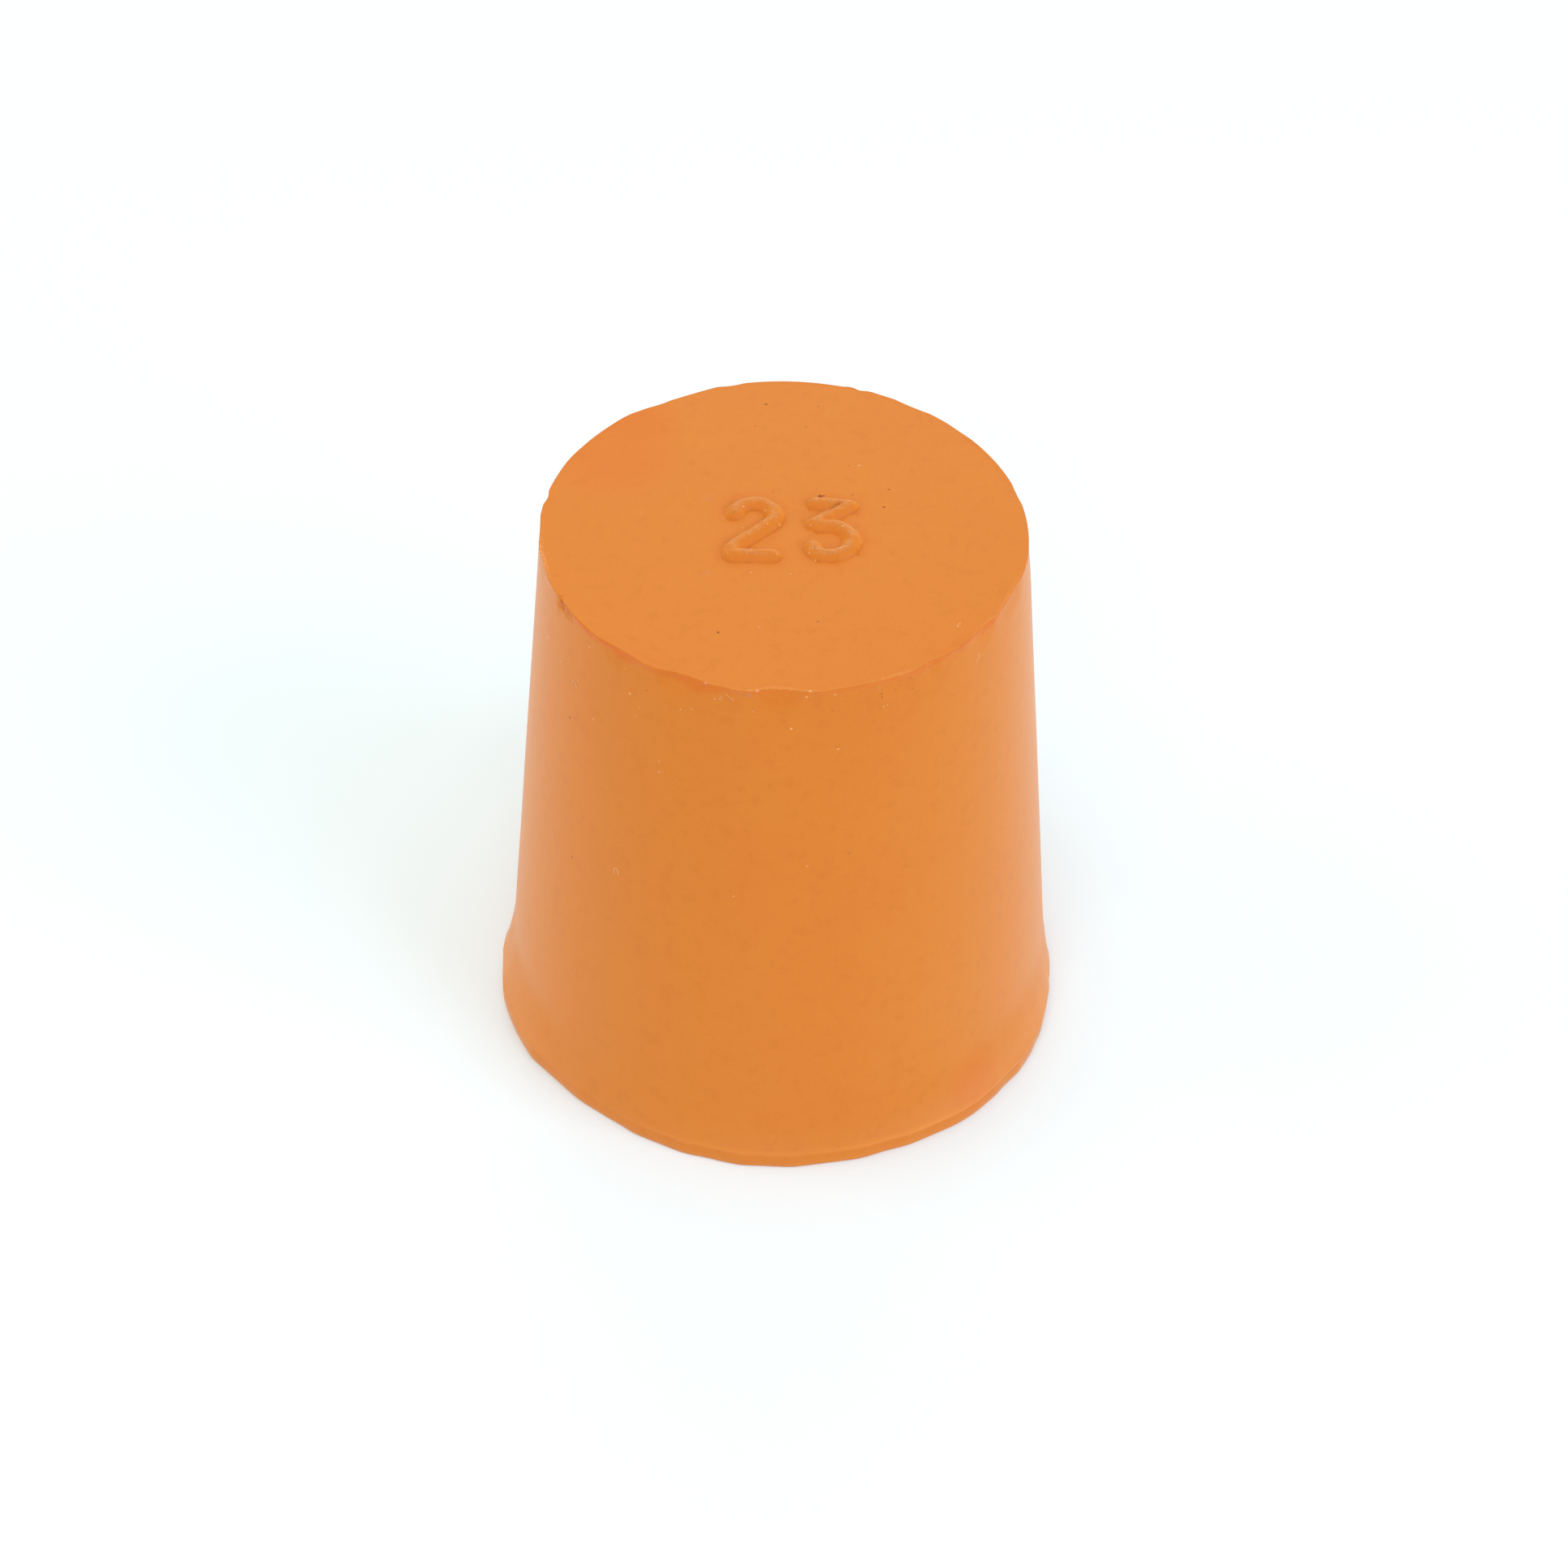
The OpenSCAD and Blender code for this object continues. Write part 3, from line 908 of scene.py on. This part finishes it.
# Each hair: thickness, direction and height of its middle, length, heading of its
# start in degrees, how far it turns, and how it curls back, on the unrolled flank
HAIRS = [
    (0.022, -42.2, 25.1, 1.5, 60, -150, 220), (0.02, -127.4, 17, 0.9, 110, 160, -200),
    (0.02, -143.7, 26.2, 0.9, 80, -130, 160), (0.02, -39.9, 28.6, 0.5, 20, 90, 0),
    (0.014, -101.4, 29.47, 0.56, -60, 40, 0), (0.012, -103.5, 29.35, 0.3, 30, 60, 0),
]


def hair_path(direction, height, length, heading, turn, curl, count=25):
    """Middle line of a hair in mm: its heading changes evenly by turn and swings by
    curl as a sine wave, and the steps add up to places on the unrolled flank."""
    s = np.linspace(0, 1, count)
    angle = np.radians(heading + turn * s + curl * np.sin(2 * np.pi * s) / 4)
    along = np.cumsum(np.cos(angle)) * length / count
    up = np.cumsum(np.sin(angle)) * length / count
    z = np.minimum(height + up - up.mean(), HEIGHT - 0.05)
    radius = LARGE_R - z * SLOPE + LINT_OFF
    side = math.radians(direction) + (along - along.mean()) / radius
    return np.stack([radius * np.cos(side), radius * np.sin(side), z], -1)


def tube(path, radius):
    """Points and faces of a tube along a path. Its section turns with the flank:
    one axis is the path's heading, one points away from the stopper's axis."""
    ahead = np.gradient(path, axis=0)
    ahead /= np.linalg.norm(ahead, axis=1, keepdims=True)
    out = path * (1, 1, 0)
    out -= (out * ahead).sum(1, keepdims=True) * ahead
    out /= np.linalg.norm(out, axis=1, keepdims=True)
    across = np.cross(ahead, out)
    turn = np.arange(LINT_SIDES) * 2 * np.pi / LINT_SIDES
    thin = radius * np.sqrt(np.clip(1 - np.linspace(-1, 1, len(path)) ** 6, 0.04, 1))
    ring = np.cos(turn)[:, None] * out[:, None] + np.sin(turn)[:, None] * across[:, None]
    skin = (path[:, None] + thin[:, None, None] * ring).reshape(-1, 3)
    number = np.arange(len(skin)).reshape(len(path), LINT_SIDES)
    ahead_of = np.roll(number, -1, axis=1)
    quads = np.stack([number[:-1], number[1:], ahead_of[1:], ahead_of[:-1]], -1).reshape(-1, 4)
    ends = np.array([len(skin), len(skin) + 1])
    caps = [np.stack([number[0], ahead_of[0], np.full(LINT_SIDES, ends[0])], -1),
            np.stack([ahead_of[-1], number[-1], np.full(LINT_SIDES, ends[1])], -1)]
    return np.concatenate([skin, path[:1], path[-1:]]), quads, np.concatenate(caps)


def merged(parts):
    """Several (points, quads, triangles) as one, with the face numbers moved on."""
    starts = np.cumsum([0] + [len(p) for p, _, _ in parts[:-1]])
    return (np.concatenate([p for p, _, _ in parts]),
            np.concatenate([q + n for (_, q, _), n in zip(parts, starts)]),
            np.concatenate([t + n for (_, _, t), n in zip(parts, starts)]))


lint = mesh_object("lint", *merged([tube(hair_path(*hair), thickness) for thickness, *hair in HAIRS]))
fluff = Finish("pale_lint", Roughness=0.7, IOR=1.5)
tone = fluff.noise(0.3)
fluff.feed(fluff.shader.inputs["Base Color"], fluff.mix(tone, linear(230, 158, 104), linear(238, 184, 140)))
lint.data.materials.append(fluff.material)
print("lint:", len(HAIRS), "hairs,", len(lint.data.polygons), "faces")

# %% A torn crumb that still hangs in the nick: a short thick tube, set into the rim
CRUMB = (-152.6, 29.88, 0.42, -70, 40, 0)  # like a hair, without the thickness
CRUMB_R = 0.17
CRUMB_POINTS = 9
CRUMB_IN = 0.992  # it lies at this share of its distance from the axis
crumb_path = hair_path(*CRUMB, CRUMB_POINTS) * (CRUMB_IN, CRUMB_IN, 1)
crumb = mesh_object("crumb", *tube(crumb_path, CRUMB_R))
crumb.data.materials.append(rubber.material)
print("crumb:", len(crumb.data.polygons), "faces")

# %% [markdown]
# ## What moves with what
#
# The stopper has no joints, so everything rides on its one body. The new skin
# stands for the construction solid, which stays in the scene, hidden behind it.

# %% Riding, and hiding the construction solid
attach(stopper, "root")
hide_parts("stopper")
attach(lint, "root")
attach(crumb, "root")

# %% [markdown]
# ## Table, light and camera
#
# A small object on a white table under large soft lights is the usual setting for
# a catalogue. The world itself gives most of the light, a soft box at the right
# throws the faint shadow to the left, and one above the camera lifts the front.
# Three more, at the left, at the back and overhead, even out the rest.

# %% Table
TABLE_HALF = 2000.0
WHITE = (0.93, 0.93, 0.93, 1)
corners = np.array([[-1, -1, 0], [1, -1, 0], [1, 1, 0], [-1, 1, 0]]) * TABLE_HALF
table = mesh_object("table", corners, np.array([[0, 1, 2, 3]]))
paper = Finish("white_paper", Roughness=0.9, IOR=1.3)
paper.shader.inputs["Base Color"].default_value = WHITE
table.data.materials.append(paper.material)

# %% Lights
LAMP_AWAY = 800  # distance of every lamp from the stopper, in mm
WORLD_LIGHT = (0.63, 0.684, 0.65, 1)


def soft_box(name, direction, elevation, size, light):
    """A square area light that faces the stopper from a direction and an elevation in
    degrees. Light is the colour that it would give a white card held square to it."""
    distance = LAMP_AWAY * MM
    lamp = bpy.data.lights.new(name, "AREA")
    lamp.shape = "SQUARE"
    lamp.size = size * MM
    lamp.energy = (math.pi * distance) ** 2 * max(light)
    lamp.color = np.array(light) / max(light)
    made = bpy.data.objects.new(name, lamp)
    side, up = math.radians(direction), math.radians(elevation)
    out = Vector((math.cos(side) * math.cos(up), math.sin(side) * math.cos(up), math.sin(up)))
    made.location = out * distance
    aim = Vector((0, 0, HEIGHT * MM / 2)) - made.location
    made.rotation_euler = aim.to_track_quat("-Z", "Y").to_euler()
    bpy.context.scene.collection.objects.link(made)


soft_box("right_box", -30, 34, 450, (0.263, 0.333, 0.422))
soft_box("front_box", -100, 50, 500, (0.193, 0.239, 0.255))
soft_box("left_box", 180, 40, 500, (0.133, 0.146, 0.145))
soft_box("back_box", 90, 45, 500, (0.109, 0.129, 0.145))
soft_box("top_box", 0, 89, 600, (0.074, 0.094, 0.102))
world = bpy.data.worlds.new("studio")
bpy.context.scene.world = world
world.use_nodes = True
world.node_tree.nodes["Background"].inputs["Color"].default_value = WORLD_LIGHT
world.node_tree.nodes["Background"].inputs["Strength"].default_value = 1.0
bpy.context.scene.view_settings.view_transform = "Standard"

# %% Camera, in mm and degrees
CAMERA_AT = (0.181, -100.306, 111.331)
LOOK_DOWN = 44.423
ROLL = 0.875
LENS = 62.61
eye = bpy.data.cameras.new("camera")
eye.lens = LENS
eye.sensor_width = 36
eye.clip_start = 0.01
camera = bpy.data.objects.new("camera", eye)
tilt = Matrix.Rotation(math.radians(90 - LOOK_DOWN), 4, "X") @ Matrix.Rotation(math.radians(ROLL), 4, "Z")
camera.matrix_world = Matrix.Translation(Vector(CAMERA_AT) * MM) @ tilt
bpy.context.scene.collection.objects.link(camera)
bpy.context.scene.camera = camera
